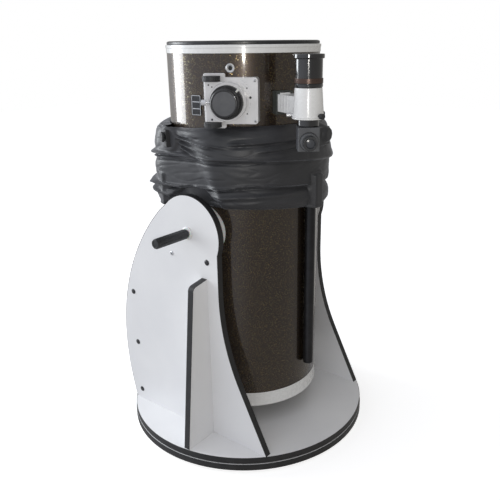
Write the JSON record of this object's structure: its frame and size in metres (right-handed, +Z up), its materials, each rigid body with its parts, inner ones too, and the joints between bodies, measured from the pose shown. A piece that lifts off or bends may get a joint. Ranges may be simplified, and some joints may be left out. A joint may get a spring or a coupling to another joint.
{
  "type": "dobsonian telescope",
  "caption": "Collapsible truss Newtonian reflector on a white laminate rocker box, with cloth shroud, focuser and right-angle finder, stored upright.",
  "frame": {"origin": "centre of the round base, on the floor", "axes": "+Z up, along the stored tube; -Y the open side of the rocker box; +X to the right seen from the open side"},
  "size_m": [0.634, 0.63, 0.973],
  "materials": {
    "laminate": "white melamine laminate, satin",
    "edge_band": "black edge banding, satin",
    "foot_rubber": "matte",
    "roller_nylon": "natural nylon",
    "zinc_steel": "bright zinc plate",
    "white_nylon": "turned white nylon",
    "cap_plastic": "black, semi-gloss",
    "tube_paint": "dark bronze metallic flake, gloss",
    "white_paint": "white enamel, gloss",
    "cell_alloy": "black satin paint on cast alloy",
    "mirror_coat": "aluminised glass",
    "strut_alloy": "black anodised, satin",
    "block_alloy": "white enamel on cast alloy",
    "black_alloy": "black satin paint on cast alloy",
    "knob_plastic": "black moulded",
    "focuser_alloy": "pearl white enamel on machined alloy",
    "bright_alloy": "satin anodised",
    "finder_gloss": "black gloss anodised",
    "lens_glass": "coated lens",
    "diagonal_plastic": "dark grey moulded",
    "label": "printed plate, blank",
    "shroud_cloth": "stretch knit, charcoal"
  },
  "bodies": {
    "ground_base": {"ground_board": "laminate", "ground_edge_band": "edge_band", "feet": "foot_rubber", "pivot_bolt": "zinc_steel", "pivot_nut": "zinc_steel"},
    "roller_cage": {"azimuth_roller_cage": "roller_nylon"},
    "rocker_box": {"pivot_bush": "white_nylon", "base_disc": "laminate", "base_edge_band": "edge_band", "side_board_left": "laminate", "side_board_right": "laminate", "gusset_left": "laminate", "gusset_right": "laminate", "front_board": "laminate", "board_edge_bands": "edge_band", "screw_caps": "cap_plastic", "altitude_posts": "white_nylon", "post_screws": "zinc_steel"},
    "lower_assembly": {"altitude_bearings": "white_nylon", "lower_tube": "tube_paint", "bottom_ring": "white_paint", "tube_top_ring": "cap_plastic", "mirror_cell": "cell_alloy", "mirror_carrier": "cell_alloy", "primary_mirror": "mirror_coat", "mirror_clips": "black_alloy", "collimation_screws": "zinc_steel", "strut_clamps": "block_alloy", "truss_shroud": "shroud_cloth"},
    "tension_handle_left": {"handle_left": "knob_plastic"},
    "tension_handle_right": {"handle_right": "knob_plastic"},
    "strut_lock_front": {"lock_knob_front": "knob_plastic"},
    "strut_lock_left": {"lock_knob_left": "knob_plastic"},
    "strut_lock_right": {"lock_knob_right": "knob_plastic"},
    "upper_assembly": {"truss_struts": "strut_alloy", "cage_brackets": "black_alloy", "bracket_knobs": "knob_plastic", "upper_cage": "tube_paint", "cage_top_ring": "white_paint", "spider": "black_alloy", "cage_screws": "zinc_steel", "secondary_holder": "cell_alloy", "secondary_mirror": "mirror_coat", "label_plate": "label", "focuser_base": "focuser_alloy", "focuser_body": "focuser_alloy", "finder_shoe": "black_alloy"},
    "tube_cap": {"dust_cap": "cap_plastic"},
    "focuser_draw": {"drawtube": "bright_alloy"},
    "focuser_knobs": {"focus_knobs": "knob_plastic"},
    "draw_lock": {"drawtube_lock_screw": "bright_alloy"},
    "eyepiece_plug": {"focuser_plug": "cap_plastic"},
    "finder": {"finder_bracket": "white_paint", "finder_tube": "finder_gloss", "finder_objective": "lens_glass", "finder_diagonal": "diagonal_plastic"},
    "finder_ocular": {"finder_eyepiece": "knob_plastic"},
    "finder_adjuster_front": {"finder_screw_front": "knob_plastic"},
    "finder_adjuster_side": {"finder_screw_side": "knob_plastic"},
    "finder_spring": {"finder_plunger": "zinc_steel"}
  },
  "joints": [
    {"name": "azimuth_turn", "type": "hinge", "parent": "ground_base", "child": "rocker_box", "pos_m": [0, 0, 0.027], "axis": [0, 0, 1], "continuous": true},
    {"name": "roller_turn", "type": "hinge", "parent": "ground_base", "child": "roller_cage", "pos_m": [0, 0, 0.026], "axis": [0, 0, 1], "continuous": true},
    {"name": "altitude_tilt", "type": "hinge", "parent": "rocker_box", "child": "lower_assembly", "pos_m": [0, -0.008, 0.56], "axis": [-1, 0, 0], "range_deg": [0, 90]},
    {"name": "handle_left_turn", "type": "hinge", "parent": "lower_assembly", "child": "tension_handle_left", "pos_m": [-0.217, -0.008, 0.56], "axis": [-1, 0, 0], "range_deg": [0, 180]},
    {"name": "handle_right_turn", "type": "hinge", "parent": "lower_assembly", "child": "tension_handle_right", "pos_m": [0.217, -0.008, 0.56], "axis": [1, 0, 0], "range_deg": [0, 180]},
    {"name": "truss_slide", "type": "slide", "parent": "lower_assembly", "child": "upper_assembly", "axis": [0, 0, 1], "range_m": [0, 0.46], "deforming": ["truss_shroud"]},
    {"name": "lock_front_turn", "type": "hinge", "parent": "lower_assembly", "child": "strut_lock_front", "pos_m": [0, -0.22, 0.668], "axis": [0, -1, 0], "range_deg": [0, 180]},
    {"name": "lock_left_turn", "type": "hinge", "parent": "lower_assembly", "child": "strut_lock_left", "pos_m": [-0.1836, 0.098, 0.668], "axis": [-0.866, 0.5, 0], "range_deg": [0, 180]},
    {"name": "lock_right_turn", "type": "hinge", "parent": "lower_assembly", "child": "strut_lock_right", "pos_m": [0.1836, 0.098, 0.668], "axis": [0.866, 0.5, 0], "range_deg": [0, 180]},
    {"name": "dust_cap_lift", "type": "slide", "parent": "upper_assembly", "child": "tube_cap", "axis": [0, 0, 1], "range_m": [0, 0.06]},
    {"name": "drawtube_slide", "type": "slide", "parent": "upper_assembly", "child": "focuser_draw", "axis": [-0.866, -0.5, 0], "range_m": [0, 0.036]},
    {"name": "focus_turn", "type": "hinge", "parent": "upper_assembly", "child": "focuser_knobs", "pos_m": [-0.20359, -0.08738, 0.854], "axis": [0, 0, 1], "range_deg": [-700, 5]},
    {"name": "draw_lock_turn", "type": "hinge", "parent": "focuser_draw", "child": "draw_lock", "pos_m": [-0.22169, -0.08403, 0.854], "axis": [-0.5, 0.866, 0], "range_deg": [0, 180]},
    {"name": "plug_lift", "type": "slide", "parent": "focuser_draw", "child": "eyepiece_plug", "axis": [-0.866, -0.5, 0], "range_m": [0, 0.06]},
    {"name": "finder_lift", "type": "slide", "parent": "upper_assembly", "child": "finder", "axis": [0, 0, 1], "range_m": [0, 0.05]},
    {"name": "finder_focus_turn", "type": "hinge", "parent": "finder", "child": "finder_ocular", "pos_m": [-0.1532, -0.29654, 0.781], "axis": [-0.766, -0.6428, 0], "range_deg": [-180, 180]},
    {"name": "finder_front_turn", "type": "hinge", "parent": "finder", "child": "finder_adjuster_front", "pos_m": [-0.13135, -0.30985, 0.831], "axis": [-0.2198, -0.9755, 0], "range_deg": [0, 180]},
    {"name": "finder_side_turn", "type": "hinge", "parent": "finder", "child": "finder_adjuster_side", "pos_m": [-0.08354, -0.27962, 0.831], "axis": [0.9755, -0.2198, 0], "range_deg": [0, 180]},
    {"name": "finder_plunger_slide", "type": "slide", "parent": "finder", "child": "finder_spring", "axis": [-0.5344, 0.8453, 0], "range_m": [0, 0.003], "stiffness_N_per_m": 400, "springref_m": -0.005}
  ],
  "couplings": [
    {"joint": "roller_turn", "follows": "azimuth_turn", "ratio": 0.5},
    {"joint": "focus_turn", "follows": "drawtube_slide", "rad_per_m": -333.33}
  ]
}
